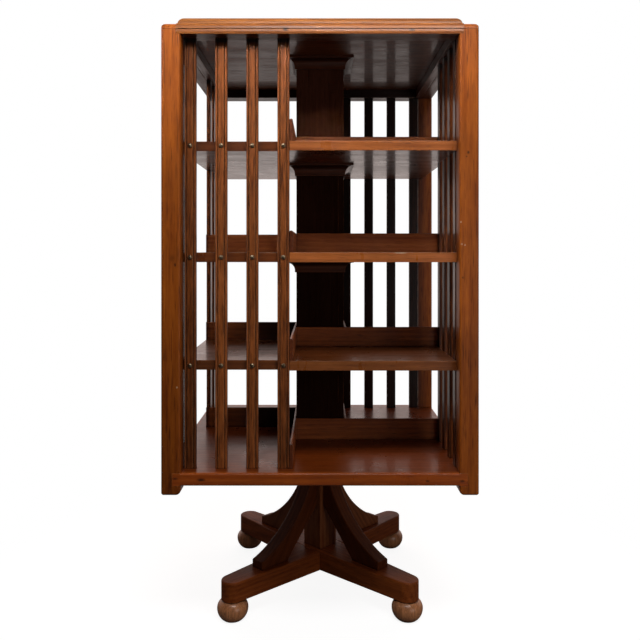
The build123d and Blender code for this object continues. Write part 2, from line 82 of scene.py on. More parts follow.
def axesOf(tree, vector):
    return put(tree, "ShaderNodeSeparateXYZ", {0: vector}).outputs


def vectorOf(tree, x, y, z):
    return put(tree, "ShaderNodeCombineXYZ", {"X": x, "Y": y, "Z": z}).outputs[0]


def noise(tree, vector, scale, detail, roughness):
    return put(tree, "ShaderNodeTexNoise",
               {"Vector": vector, "Scale": scale, "Detail": detail, "Roughness": roughness}).outputs


def remap(tree, value, low, high, toLow=0.0, toHigh=1.0, how="LINEAR"):
    return put(tree, "ShaderNodeMapRange",
               {"Value": value, "From Min": low, "From Max": high, "To Min": toLow, "To Max": toHigh},
               interpolation_type=how).outputs[0]


# noise drawn out by its run, then spread between its levels
def noiseLayer(tree, vector, layer, **feeds):
    values = dict(layer, **feeds)
    if "run" in values:
        vector = vectorMath(tree, "MULTIPLY", vector, values["run"])
    grain = noise(tree, vector, values["scale"], values["detail"], values["roughness"])["Fac"]
    return remap(tree, grain, *values["levels"])


def blendColour(tree, factor, first, second, how="MIX"):
    return put(tree, "ShaderNodeMix", {0: factor, 6: first, 7: second},
               data_type="RGBA", blend_type=how).outputs[2]


def blendShader(tree, factor, first, second):
    return put(tree, "ShaderNodeMixShader", {0: factor, 1: first, 2: second}).outputs[0]


def useGroup(tree, group, feeds):
    return put(tree, "ShaderNodeGroup", feeds, node_tree=group).outputs


def opaque(colour):
    return tuple(colour) + (1.0,)


def tinted(colour, amount):
    return tuple(channel * amount for channel in colour)


def newGroup(name, inputs, outputs):
    group = bpy.data.node_groups.new(name, "ShaderNodeTree")
    for label, kind, value in inputs:
        socket = group.interface.new_socket(name=label, in_out="INPUT", socket_type=kind)
        if value is not None:
            socket.default_value = value
    for label, kind in outputs:
        group.interface.new_socket(name=label, in_out="OUTPUT", socket_type=kind)
    enter = group.nodes.new("NodeGroupInput")
    leave = group.nodes.new("NodeGroupOutput")
    return group, enter.outputs, leave.inputs


def sendOut(group, out, results):
    for label, socket in results.items():
        group.links.new(socket, out[label])


def newMaterial(name):
    material = bpy.data.materials.new(name)
    material.use_nodes = True
    material.node_tree.nodes.clear()
    return material, material.node_tree


# sawn board: growth rings, ribbon, streaks, fibres and pores, with the grain along Z
grainLook = {
    "drift": {"run": (1.0, 1.0, 0.22), "scale": 5.0, "detail": 2.0, "roughness": 0.5},
    "bend": (0.035, 0.035, 0.0),
    "rings": {"Distortion": 3.0, "Detail": 3.0, "Detail Scale": 1.4, "Detail Roughness": 0.6},
    "ringRun": (1.0, 1.0, 0.12),
    "streak": {"detail": 4.0, "roughness": 0.62, "levels": (0.3, 0.7)},
    "ribbon": {"run": (1.0, 1.0, 0.05), "scale": 34.0, "detail": 2.0, "roughness": 0.5, "levels": (0.32, 0.68)},
    "fibre": {"run": (1.0, 1.0, 0.012), "scale": 780.0, "detail": 3.0, "roughness": 0.6, "levels": (0.3, 0.7)},
    "pore": {"run": (1.0, 1.0, 0.04), "detail": 1.0, "roughness": 0.4, "levels": (0.6, 0.7)},
    "blotch": {"run": (1.0, 1.0, 0.45), "scale": 6.5, "detail": 3.0, "roughness": 0.55, "levels": (0.3, 0.7)},
    "figure": {"run": (1.0, 1.0, 0.3), "scale": 58.0, "detail": 4.0, "roughness": 0.68, "levels": (0.3, 0.7)},
    "streakShare": 0.36, "fibreShare": 0.2, "figureShare": 0.26, "ribbonShare": 0.18, "toneLevels": (0.22, 0.78),
    "fibreRise": 0.35, "poreSink": 0.8,
}


def makeBoardGrain(look):
    g, into, out = newGroup("boardGrain", [
        ("Vector", "NodeSocketVector", None),
        ("Ring Scale", "NodeSocketFloat", 40.0),
        ("Ring Share", "NodeSocketFloat", 0.3),
        ("Streak Scale", "NodeSocketFloat", 150.0),
        ("Streak Run", "NodeSocketFloat", 0.022),
        ("Pore Scale", "NodeSocketFloat", 900.0),
    ], [
        ("Tone", "NodeSocketFloat"),
        ("Pores", "NodeSocketFloat"),
        ("Blotch", "NodeSocketFloat"),
        ("Height", "NodeSocketFloat"),
    ])
    straight = into["Vector"]
    drift = look["drift"]
    wander = noise(g, vectorMath(g, "MULTIPLY", straight, drift["run"]),
                   drift["scale"], drift["detail"], drift["roughness"])["Color"]
    centred = vectorMath(g, "SUBTRACT", wander, (0.5, 0.5, 0.5))
    bent = vectorMath(g, "MULTIPLY_ADD", centred, look["bend"], straight)
    drawn = vectorMath(g, "MULTIPLY", bent, look["ringRun"])
    rings = put(g, "ShaderNodeTexWave", {"Vector": drawn, "Scale": into["Ring Scale"], **look["rings"]},
                wave_type="RINGS", rings_direction="Z", wave_profile="SIN").outputs["Fac"]
    streaks = noiseLayer(g, bent, look["streak"], run=vectorOf(g, 1.0, 1.0, into["Streak Run"]),
                         scale=into["Streak Scale"])
    pores = noiseLayer(g, bent, look["pore"], scale=into["Pore Scale"])
    ribbon = noiseLayer(g, bent, look["ribbon"])
    fibres = noiseLayer(g, bent, look["fibre"])
    figure = noiseLayer(g, bent, look["figure"])
    blotch = noiseLayer(g, straight, look["blotch"])
    fine = weighed(g, streaks, look["streakShare"], fibres, look["fibreShare"])
    broad = weighed(g, figure, look["figureShare"], ribbon, look["ribbonShare"])
    plain = remap(g, math2(g, "ADD", fine, broad), *look["toneLevels"])
    plainShare = math2(g, "SUBTRACT", 1.0, into["Ring Share"])
    tone = weighed(g, rings, into["Ring Share"], plain, plainShare, clamp=True)
    # pores are cut in, fibres stand a little proud
    height = weighed(g, fibres, look["fibreRise"], pores, -look["poreSink"])
    sendOut(g, out, {"Tone": tone, "Pores": pores, "Blotch": blotch, "Height": height})
    return g


# years of handling: rubbed arrises, smears in the polish, and grime with painted shade in corners and joins
wearLook = {
    "samples": 6, "edgeLevels": (0.995, 0.86), "cornerLevels": (0.85, 0.35),
    "patch": {"scale": 26.0, "detail": 4.0, "roughness": 0.65, "levels": (0.38, 0.62)},
    "settled": {"scale": 55.0, "detail": 3.0, "roughness": 0.6, "levels": (0.25, 0.7, 0.45, 1.0)},
    "smears": {"run": (1.0, 0.6, 0.3), "scale": 18.0, "detail": 5.0, "roughness": 0.7, "levels": (0.3, 0.7)},
}


def makeWearAndCornerShade(look):
    g, into, out = newGroup("wearAndCornerShade", [
        ("Vector", "NodeSocketVector", None),
        ("Arris", "NodeSocketFloat", 0.0018),
        ("Corner Reach", "NodeSocketFloat", 0.012),
    ], [
        ("Rubbed", "NodeSocketFloat"),
        ("Grime And Shade", "NodeSocketFloat"),
        ("Smears", "NodeSocketFloat"),
        ("Normal", "NodeSocketVector"),
    ])
    soft = put(g, "ShaderNodeBevel", {"Radius": into["Arris"]}, samples=look["samples"]).outputs["Normal"]
    flat = put(g, "ShaderNodeNewGeometry").outputs["Normal"]
    edge = remap(g, vectorMath(g, "DOT_PRODUCT", soft, flat), *look["edgeLevels"])
    # occlusion finds corners and joins, which take both grime and painted shade
    daylight = put(g, "ShaderNodeAmbientOcclusion", {"Distance": into["Corner Reach"]},
                   samples=look["samples"]).outputs["AO"]
    corner = remap(g, daylight, *look["cornerLevels"])
    patch = noiseLayer(g, into["Vector"], look["patch"])
    bare = math2(g, "SUBTRACT", 1.0, corner)
    rubbed = math2(g, "MULTIPLY", math2(g, "MULTIPLY", edge, patch), bare, True)
    grimeAndShade = math2(g, "MULTIPLY", corner, noiseLayer(g, into["Vector"], look["settled"]), True)
    smears = noiseLayer(g, into["Vector"], look["smears"])
    sendOut(g, out, {"Rubbed": rubbed, "Grime And Shade": grimeAndShade, "Smears": smears, "Normal": soft})
    return g


# painted shade: a mask for undersides and for whatever lies inside the case's rim, darkened as if in shadow; more of
# the polish film is kept there too
def makeShelterShade(underLevels):
    g, into, out = newGroup("shelterShade", [
        ("Vector", "NodeSocketVector", None),
        ("Rim Low", "NodeSocketFloat", 0.27),
        ("Rim High", "NodeSocketFloat", 0.3),
        ("Under", "NodeSocketFloat", 1.0),
    ], [
        ("Shade Mask", "NodeSocketFloat"),
    ])
    facing = axesOf(g, put(g, "ShaderNodeNewGeometry").outputs["Normal"])["Z"]
    under = math2(g, "MULTIPLY", remap(g, facing, *underLevels), into["Under"])
    size = axesOf(g, vectorMath(g, "ABSOLUTE", into["Vector"]))
    reach = math2(g, "MAXIMUM", size["X"], size["Y"])
    rim = remap(g, reach, into["Rim Low"], into["Rim High"], 1.0, 0.0, "SMOOTHSTEP")
    sendOut(g, out, {"Shade Mask": math2(g, "MAXIMUM", under, rim, True)})
    return g


# a ragged mark at one place: nick, knot, chip, or a patch of painted shade
bruiseLook = {"scale": 420.0, "detail": 3.0, "roughness": 0.6, "jitter": (0.004, 0.004, 0.004), "levels": (1.0, 0.3)}


def makeBruise(look):
    g, into, out = newGroup("bruise", [
        ("Vector", "NodeSocketVector", None),
        ("Place", "NodeSocketVector", None),
        ("Spread", "NodeSocketVector", (1.0, 1.0, 1.0)),
        ("Size", "NodeSocketFloat", 0.003),
        ("Depth", "NodeSocketFloat", 0.8),
    ], [
        ("Mask", "NodeSocketFloat"),
    ])
    ragged = noise(g, into["Vector"], look["scale"], look["detail"], look["roughness"])["Color"]
    centred = vectorMath(g, "SUBTRACT", ragged, (0.5, 0.5, 0.5))
    rough = vectorMath(g, "MULTIPLY_ADD", centred, look["jitter"], into["Vector"])
    near = vectorMath(g, "DIVIDE", vectorMath(g, "SUBTRACT", rough, into["Place"]), into["Spread"])
    away = math2(g, "DIVIDE", vectorMath(g, "LENGTH", near), into["Size"])
    sendOut(g, out, {"Mask": math2(g, "MULTIPLY", remap(g, away, *look["levels"]), into["Depth"])})
    return g


# stains the grain, paints shade on undersides and inner faces, and lays the polish over it
polishLook = {
    "blotchShade": (0.62, 1.25), "poreShade": 0.35,
    "nickAndShade": (0.012, 0.005, 0.003), "chip": (0.62, 0.43, 0.27), "grimeAndShade": (0.006, 0.003, 0.002),
    "smearDull": 0.14, "grimeDull": 0.25, "poreDull": 0.12, "filmLevels": (0.25, 0.75, 1.0, 0.25),
}


def makeStainedPolish(look):
    g, into, out = newGroup("stainedPolish", [
        ("Tone", "NodeSocketFloat", 0.5),
        ("Pores", "NodeSocketFloat", 0.0),
        ("Blotch", "NodeSocketFloat", 0.5),
        ("Rubbed", "NodeSocketFloat", 0.0),
        ("Grime And Shade", "NodeSocketFloat", 0.0),
        ("Smears", "NodeSocketFloat", 0.5),
        ("Shade Mask", "NodeSocketFloat", 0.0),
        ("Nicks And Shade", "NodeSocketFloat", 0.0),
        ("Chips", "NodeSocketFloat", 0.0),
        ("Pale", "NodeSocketColor", (0.4, 0.13, 0.03, 1.0)),
        ("Deep", "NodeSocketColor", (0.2, 0.05, 0.012, 1.0)),
        ("Worn", "NodeSocketColor", (0.5, 0.22, 0.08, 1.0)),
        ("Pore Depth", "NodeSocketFloat", 0.5),
        ("Blotch Depth", "NodeSocketFloat", 0.3),
        ("Wear", "NodeSocketFloat", 0.5),
        ("Dirt And Shade", "NodeSocketFloat", 0.6),
        ("Gloss", "NodeSocketFloat", 0.34),
        ("Shade Depth", "NodeSocketFloat", 0.7),
        ("Shade Tint", "NodeSocketColor", (0.2, 0.13, 0.12, 1.0)),
        ("Coat", "NodeSocketFloat", 0.3),
        ("Film Left", "NodeSocketFloat", 0.12),
    ], [
        ("Color", "NodeSocketColor"),
        ("Roughness", "NodeSocketFloat"),
        ("Coat Weight", "NodeSocketFloat"),
    ])
    base = blendColour(g, into["Tone"], into["Deep"], into["Pale"])
    shaded = scaled(g, base, remap(g, into["Blotch"], 0.0, 1.0, *look["blotchShade"]))
    base = blendColour(g, into["Blotch Depth"], base, shaded)
    filled = scaled(g, into["Deep"], look["poreShade"])
    base = blendColour(g, math2(g, "MULTIPLY", into["Pores"], into["Pore Depth"]), base, filled)
    # painted shade: undersides and faces inside the rim are darkened towards the shade tint
    shadeColour = blendColour(g, into["Shade Mask"], opaque(white), into["Shade Tint"])
    base = blendColour(g, into["Shade Depth"], base, blendColour(g, 1.0, base, shadeColour, "MULTIPLY"))
    base = blendColour(g, math2(g, "MULTIPLY", into["Rubbed"], into["Wear"]), base, into["Worn"])
    # nicks, knots and patches of painted shade darken the colour
    base = blendColour(g, into["Nicks And Shade"], base, opaque(look["nickAndShade"]))
    base = blendColour(g, into["Chips"], base, opaque(look["chip"]))
    base = blendColour(g, math2(g, "MULTIPLY", into["Grime And Shade"], into["Dirt And Shade"]), base, opaque(look["grimeAndShade"]))
    dull = weighed(g, into["Smears"], look["smearDull"], into["Grime And Shade"], look["grimeDull"])
    rough = math2(g, "ADD", into["Gloss"], dull)
    rough = math2(g, "ADD", rough, math2(g, "MULTIPLY", into["Pores"], look["poreDull"]), True)
    # the polish lies thinner along the pale streaks, and outside much of it has been rubbed away
    film = math2(g, "MULTIPLY", into["Coat"], remap(g, into["Tone"], *look["filmLevels"]))
    film = math2(g, "MULTIPLY", film, remap(g, into["Shade Mask"], 0.0, 1.0, into["Film Left"], 1.0))
    clean = math2(g, "SUBTRACT", 1.0, math2(g, "MAXIMUM", into["Grime And Shade"], into["Chips"]))
    film = math2(g, "MULTIPLY", film, clean, True)
    sendOut(g, out, {"Color": base, "Roughness": rough, "Coat Weight": film})
    return g


boardGrain = makeBoardGrain(grainLook)
wearAndCornerShade = makeWearAndCornerShade(wearLook)
shelterShade = makeShelterShade(underLevels=(-0.35, -0.8))
bruise = makeBruise(bruiseLook)
stainedPolish = makeStainedPolish(polishLook)
print("shared finishes made:", len(bpy.data.node_groups), "node groups")

# ways that a board's grain can run
grainWays = {"up": (0, 0, 1), "across": (1, 0, 0), "deep": (0, 1, 0), "rising": (1, 1, 0), "falling": (1, -1, 0)}


# picks the grain's way on pieces that run round the column, from where a point lies
def lengthwaysVector(tree, place, band):
    axes = axesOf(tree, place)
    across = math2(tree, "ABSOLUTE", axes["X"])
    depth = math2(tree, "ABSOLUTE", axes["Y"])
    if band:  # strips: those that run along X lie in a thin band of Y
        near = math2(tree, "GREATER_THAN", depth, band[0])
        alongX = math2(tree, "MULTIPLY", near, math2(tree, "LESS_THAN", depth, band[1]))
    else:
        alongX = math2(tree, "GREATER_THAN", depth, across)
    first = vectorOf(tree, axes["Z"], axes["Y"], axes["X"])
    second = vectorOf(tree, axes["Z"], axes["X"], axes["Y"])
    return put(tree, "ShaderNodeMix", {0: alongX, 4: second, 5: first}, data_type="VECTOR").outputs[1]


# gathers the bruises and painted shade patches of one piece into a mask
def bruiseMask(tree, place, spots):
    total = None
    for spot in spots:
        mask = useGroup(tree, bruise, {
            "Vector": place, "Place": spot["at"], "Spread": spot.get("spread", (1.0, 1.0, 1.0)),
            "Size": spot["size"], "Depth": spot["depth"]})["Mask"]
        total = mask if total is None else math2(tree, "MAXIMUM", total, mask)
    return total


def woodMaterial(name, finish, grain, seed, nicksAndShade=(), chips=()):
    dice = random.Random(seed)
    shift = (dice.uniform(0.12, 0.4), dice.uniform(0.05, 0.35), dice.uniform(-2.0, 2.0))
    lot = 1.0 + dice.uniform(-1.0, 1.0) * finish["lotSpread"]
    material, tree = newMaterial(name)
    place = put(tree, "ShaderNodeTexCoord").outputs["Object"]
    if grain in ("strip", "round"):
        turned = lengthwaysVector(tree, place, finish["band"] if grain == "strip" else None)
        board = put(tree, "ShaderNodeMapping", {"Vector": turned, "Location": shift}).outputs[0]
    else:
        way = Vector(grainWays.get(grain, grain))
        turn = way.rotation_difference(Vector((0, 0, 1))).to_euler()
        board = put(tree, "ShaderNodeMapping", {"Vector": place, "Rotation": turn, "Location": shift}).outputs[0]
    wood = useGroup(tree, boardGrain, {
        "Vector": board, "Ring Scale": finish["ringScale"], "Ring Share": finish["ringShare"],
        "Streak Scale": finish["streakScale"], "Streak Run": finish["streakRun"],
        "Pore Scale": finish["poreScale"]})
    wear = useGroup(tree, wearAndCornerShade, {
        "Vector": place, "Arris": finish["arris"], "Corner Reach": finish["cornerReach"]})
    shadeMask = useGroup(tree, shelterShade, {
        "Vector": place, "Rim Low": finish["rim"][0], "Rim High": finish["rim"][1], "Under": finish["under"]})
    cutsAndShade = bruiseMask(tree, place, nicksAndShade) or 0.0
    stain = useGroup(tree, stainedPolish, {
        "Tone": wood["Tone"], "Pores": wood["Pores"], "Blotch": wood["Blotch"],
        "Rubbed": wear["Rubbed"], "Grime And Shade": wear["Grime And Shade"], "Smears": wear["Smears"],
        "Shade Mask": shadeMask["Shade Mask"], "Nicks And Shade": cutsAndShade, "Chips": bruiseMask(tree, place, chips) or 0.0,
        "Shade Depth": finish["shadeDepth"], "Shade Tint": opaque(finish["shadeTint"]),
        "Coat": finish["coat"], "Film Left": finish["filmLeft"],
        "Pale": opaque(tinted(finish["pale"], lot)), "Deep": opaque(tinted(finish["deep"], lot)),
        "Worn": opaque(finish["worn"]), "Pore Depth": finish["poreDepth"],
        "Blotch Depth": finish["blotchDepth"], "Wear": finish["wear"], "Dirt And Shade": finish["dirtAndShade"],
        "Gloss": finish["gloss"]})
    height = wood["Height"]
    if nicksAndShade:
        height = math2(tree, "SUBTRACT", height, math2(tree, "MULTIPLY", cutsAndShade, finish["nickSink"]))
    bump = put(tree, "ShaderNodeBump", {
        "Height": height, "Normal": wear["Normal"],
        "Strength": finish["grainStrength"], "Distance": finish["grainDepth"]}).outputs[0]
    shader = put(tree, "ShaderNodeBsdfPrincipled", {
        "Base Color": stain["Color"], "Roughness": stain["Roughness"], "Normal": bump,
        "Specular IOR Level": finish["specular"], "Coat Weight": stain["Coat Weight"],
        "Coat Roughness": finish["coatRoughness"], "Coat IOR": 1.5})
    put(tree, "ShaderNodeOutputMaterial", {"Surface": shader.outputs[0]})
    return material


def dress(node, material):
    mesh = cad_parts[node].data
    mesh.materials.clear()
    mesh.materials.append(material)


# the same finish on a darker or paler piece
def toned(finish, tint, **changes):
    return dict(finish, pale=tinted(finish["pale"], tint), deep=tinted(finish["deep"], tint), **changes)


plainFinish = {
    "ringScale": 38.0, "ringShare": 0.3, "streakScale": 150.0, "streakRun": 0.022, "poreScale": 900.0,
    "arris": 0.0018, "cornerReach": 0.008, "poreDepth": 0.5, "blotchDepth": 0.7,
    "wear": 0.45, "dirtAndShade": 0.45, "gloss": 0.3, "specular": 0.4,
    "grainStrength": 0.3, "grainDepth": 0.0004, "nickSink": 3.0,
    "coat": 0.2, "coatRoughness": 0.12, "filmLeft": 0.12, "lotSpread": 0.06,
    "rim": (-2.0, -1.0),  # below zero it paints no rim shade
    "under": 1.0, "shadeDepth": 0.85, "shadeTint": (0.2, 0.13, 0.12),
}
backShade = (0.05, 0.03, 0.026)  # painted shade: the back's inner faces are darkened most, as if deep in shadow

# corner posts: orange-red mahogany, well rubbed outside; painted shade darkens their faces towards the shelves and
# their undersides
postFinish = dict(plainFinish, pale=(0.5, 0.125, 0.012), deep=(0.22, 0.04, 0.003), worn=(0.56, 0.2, 0.05),
                  ringScale=22.0, streakScale=140.0, streakRun=0.05, ringShare=0.14,
                  poreScale=520.0, poreDepth=0.65, blotchDepth=0.95,
                  wear=0.5, rim=(0.262, 0.3), under=0.6, gloss=0.34, specular=0.2, coat=0.5)
postNicks = {1: [{"at": (-0.2833, -0.305, 0.7524), "size": 0.0065, "depth": 0.3, "spread": (1.0, 1.0, 1.3)},
                 {"at": (-0.2776, -0.305, 0.739), "size": 0.0032, "depth": 0.85, "spread": (0.8, 1.0, 1.6)}],
             2: [{"at": (0.2841, -0.305, 0.9546), "size": 0.003, "depth": 0.9, "spread": (1.0, 1.0, 1.4)},
                 {"at": (0.2808, -0.305, 0.947), "size": 0.0022, "depth": 0.8},
                 {"at": (0.2735, -0.305, 0.715), "size": 0.002, "depth": 0.7, "spread": (1.0, 1.0, 1.5)}]}
postChips = {1: [{"at": (-0.2738, -0.305, 0.5045), "size": 0.0024, "depth": 0.9}],
             2: [{"at": (0.2695, -0.305, 0.8215), "size": 0.0024, "depth": 0.9},
                 {"at": (0.2715, -0.305, 0.779), "size": 0.0022, "depth": 0.9},
                 {"at": (0.2775, -0.305, 0.7772), "size": 0.002, "depth": 0.8}]}
# painted shade: the front-left post is darkened to offset the left box's light
postShades = {1: 0.84}
for number in range(1, 5):
    shade = toned(postFinish, postShades.get(number, 1.0))
    dress(f"corner_post_{number}", woodMaterial(f"postMahogany{number}", shade, "up", f"post{number}",
                                                postNicks.get(number, ()), postChips.get(number, ())))

# top board and its moulded rails, bruised along the front bead; painted shade darkens the top's underside and the
# rails' inner faces
topFinish = dict(plainFinish, pale=(0.48, 0.168, 0.036), deep=(0.16, 0.04, 0.007), worn=(0.6, 0.33, 0.17),
                 ringShare=0.28, streakRun=0.035, gloss=0.36, specular=0.22, coat=0.45, coatRoughness=0.1,
                 filmLeft=0.4, dirtAndShade=0.2, grainStrength=0.15)
# painted shade: the rails' inner faces and undersides are darkened at full strength
railFinish = dict(topFinish, pale=(0.45, 0.142, 0.025), deep=(0.15, 0.033, 0.005), rim=(0.285, 0.299),
                  shadeDepth=1.0, coat=0.6, coatRoughness=0.28, filmLeft=0.8, dirtAndShade=0.12, wear=0.75)
railNicks = {1: [{"at": (-0.066, -0.304, 1.1905), "size": 0.0046, "depth": 0.95, "spread": (1.6, 1.0, 1.0)},
                 {"at": (0.1765, -0.304, 1.1895), "size": 0.004, "depth": 0.9, "spread": (2.2, 1.0, 0.8)}]}
backRail = 3
dress("top_board", woodMaterial("topMahogany", topFinish, "across", "top"))
for number in range(1, 5):
    way = "across" if number % 2 else "deep"
    # painted shade: the back rail's inner face takes the darkest shade tint
    shade = dict(railFinish, shadeTint=backShade) if number == backRail else railFinish
    dress(f"top_rail_{number}", woodMaterial(f"railMahogany{number}", shade, way, f"rail{number}",
                                             railNicks.get(number, ())))

# shelves and bottom board: pale rubbed edges; undersides and faces inside the rim darkened by painted shade, glossy so
# they mirror the gaps behind
shelfFinish = dict(plainFinish, pale=(0.54, 0.165, 0.04), deep=(0.27, 0.064, 0.012), worn=(0.6, 0.27, 0.1),
                   ringScale=26.0, ringShare=0.34, gloss=0.24, coat=0.7, coatRoughness=0.11, grainStrength=0.12,
                   rim=(0.2725, 0.2755))
# painted shade: the lowest shelf is darkened, as lying lower in the case
shelfShades = {1: {"tint": 0.62, "shadeDepth": 0.5},
               2: {"tint": 0.98, "shadeDepth": 0.72},
               3: {"tint": 0.94, "shadeDepth": 0.78}}
shelfChips = {2: [{"at": (0.158, -0.276, 0.7626), "size": 0.0032, "depth": 1.0, "spread": (4.6, 1.0, 0.8)}]}
for number in range(1, 4):
    shade = toned(shelfFinish, **shelfShades[number])
    dress(f"shelf_{number}", woodMaterial(f"shelfMahogany{number}", shade, "across", f"shelf{number}",
                                          chips=shelfChips.get(number, ())))
bottomFinish = dict(shelfFinish, pale=(0.64, 0.138, 0.014), deep=(0.35, 0.055, 0.005), rim=(0.29, 0.3045),
                    shadeDepth=0.62, coat=0.24)
bottomKnots = [{"at": (-0.2278, -0.305, 0.3274), "size": 0.0042, "depth": 0.85, "spread": (2.4, 1.0, 1.0)},
               {"at": (-0.2776, -0.305, 0.3294), "size": 0.0035, "depth": 0.7, "spread": (2.0, 1.0, 1.0)},
               {"at": (0.206, -0.305, 0.3251), "size": 0.003, "depth": 0.7, "spread": (1.6, 1.0, 1.0)},
               {"at": (0.2725, -0.305, 0.325), "size": 0.0034, "depth": 0.75, "spread": (2.0, 1.0, 1.0)}]
dress("bottom_board", woodMaterial("bottomMahogany", bottomFinish, "across", "bottom", bottomKnots))

# reeded slats: browner, coarser grain, with painted shadow at their heads under the rail
slatFinish = dict(plainFinish, pale=(0.43, 0.122, 0.029), deep=(0.085, 0.018, 0.003), worn=(0.62, 0.29, 0.12),
                  ringScale=60.0, ringShare=0.16, streakScale=300.0, streakRun=0.09, poreScale=460.0, poreDepth=0.7,
                  arris=0.0012, cornerReach=0.0035, dirtAndShade=0.95, wear=0.85, lotSpread=0.14, rim=(0.265, 0.2745),
                  gloss=0.32, specular=0.2, coat=0.55, shadeDepth=1.0)
slatShades = {1: 0.66}  # painted shade: the front one by the post is darkened, as in the post's shadow
# painted shadow: a dark patch at each slat's head, under the rail
slatHeadShadow = {"size": 0.022, "depth": 1.0, "spread": (4.0, 4.0, 1.0)}
slatNodes = [f"slat_{number:02d}" for number in range(1, 17)]
backSlats = range(9, 13)
for number, node in enumerate(slatNodes, 1):
    shade = toned(slatFinish, slatShades.get(number, 1.0))
    # painted shade: the back slats' inner faces take the darkest shade tint
    if number in backSlats:
        shade["shadeTint"] = backShade
    low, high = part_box(node)
    head = ((low.x + high.x) / 2, (low.y + high.y) / 2, high.z)
    dress(node, woodMaterial(f"slatMahogany{number:02d}", shade, "up", f"slat{number}", [dict(slatHeadShadow, at=head)]))

# column, book strips and coves: old dark stain, with painted shade on the strips' outer ends and, in the two lowest
# tiers, on the strips by the column
innerFinish = dict(plainFinish, pale=(0.5, 0.138, 0.036), deep=(0.24, 0.052, 0.011), worn=(0.4, 0.15, 0.05),
                   ringScale=30.0, gloss=0.28, band=(0.0533, 0.0597), rim=(0.2758, 0.262), specular=0.3)
coveFinish = dict(innerFinish, pale=(0.12, 0.03, 0.009), deep=(0.05, 0.011, 0.003))
columnFinish = dict(innerFinish, pale=(0.1, 0.034, 0.019), deep=(0.06, 0.019, 0.01), ringShare=0.06,
                    specular=0.0, coat=0.0, gloss=0.45)
# painted shade: the columns below the top tier are darkened, as in shadow
columnShades = {1: 0.3, 2: 0.3, 3: 0.42, 4: 1.0}
# painted shadow: dark patches on the two lowest strips by the column
stripShadows = {1: [{"at": (-0.1, 0.0535, 0.363), "size": 0.01, "depth": 0.95, "spread": (19.0, 0.6, 12.0)}],
               2: [{"at": (-0.1, 0.0535, 0.572), "size": 0.01, "depth": 0.85, "spread": (15.0, 0.6, 12.0)}]}
for number in range(1, 5):
    shade = toned(columnFinish, columnShades[number])
    dress(f"column_{number}", woodMaterial(f"columnMahogany{number}", shade, "up", f"column{number}"))
    dress(f"book_strips_{number}", woodMaterial(f"stripMahogany{number}", innerFinish, "strip", f"strip{number}",
                                                stripShadows.get(number, ())))
    dress(f"cove_mouldings_{number}", woodMaterial(f"coveMahogany{number}", coveFinish, "round", f"cove{number}"))

# base: deep red-brown, dull with age, no two pieces from one board
# painted shade: the base's undersides are darkened at half strength
baseFinish = dict(plainFinish, pale=(0.36, 0.085, 0.015), deep=(0.15, 0.028, 0.005), worn=(0.32, 0.11, 0.035),
                  ringScale=32.0, arris=0.0025, under=0.5, gloss=0.36, specular=0.12, coat=0.05)
darkBar = dict(baseFinish, pale=(0.315, 0.073, 0.013), deep=(0.13, 0.024, 0.004))
paleBar = dict(baseFinish, pale=(0.41, 0.1, 0.02), deep=(0.17, 0.033, 0.006))
dress("cross_bar_1", woodMaterial("barMahogany1", darkBar, "rising", "bar1"))
dress("cross_bar_2", woodMaterial("barMahogany2", paleBar, "falling", "bar2"))
centreFinish = dict(baseFinish, pale=(0.3, 0.1, 0.034))
dress("centre_post", woodMaterial("centreMahogany", centreFinish, "up", "centre"))
frontBrace = dict(baseFinish, pale=(0.15, 0.034, 0.007), deep=(0.065, 0.012, 0.002))
backBrace = dict(baseFinish, pale=(0.28, 0.086, 0.028), deep=(0.12, 0.032, 0.009))
braceFinishes = {1: backBrace, 2: backBrace, 3: frontBrace, 4: frontBrace}
braceLean = {"in": 0.555, "up": 0.83}  # the grain follows the brace's slope
for number, finish in braceFinishes.items():
    angle = math.radians(90.0 * number - 45.0)
    way = (-braceLean["in"] * math.cos(angle), -braceLean["in"] * math.sin(angle), braceLean["up"])
    dress(f"brace_{number}", woodMaterial(f"braceMahogany{number}", finish, way, f"brace{number}"))

# bun feet: stain gone, brown wood showing through the polish
footFinish = dict(plainFinish, pale=(0.84, 0.355, 0.145), deep=(0.36, 0.12, 0.042), worn=(0.6, 0.34, 0.18),
                  ringScale=70.0, ringShare=0.12, blotchDepth=0.9, arris=0.0015, under=0.0, coat=6.0,
                  coatRoughness=0.26, cornerReach=0.014, dirtAndShade=0.85)
for number in range(1, 5):
    dress(f"bun_foot_{number}", woodMaterial(f"footMahogany{number}", footFinish, "up", f"foot{number}"))
print("wood dressed:", len(bpy.data.materials), "materials")

# metal with tarnish in patches
metalLook = {
    "patch": {"detail": 5.0, "roughness": 0.65, "levels": (0.36, 0.64)}, "rubbedShare": 0.7,
    "grimeAndShade": (0.012, 0.007, 0.004), "grimeShadeShare": 0.85, "tarnishDull": 0.22,
    "gritFineness": 4.0, "gritDetail": 3.0, "gritRoughness": 0.6, "gritStrength": 0.2, "gritDepth": 0.0002,
}


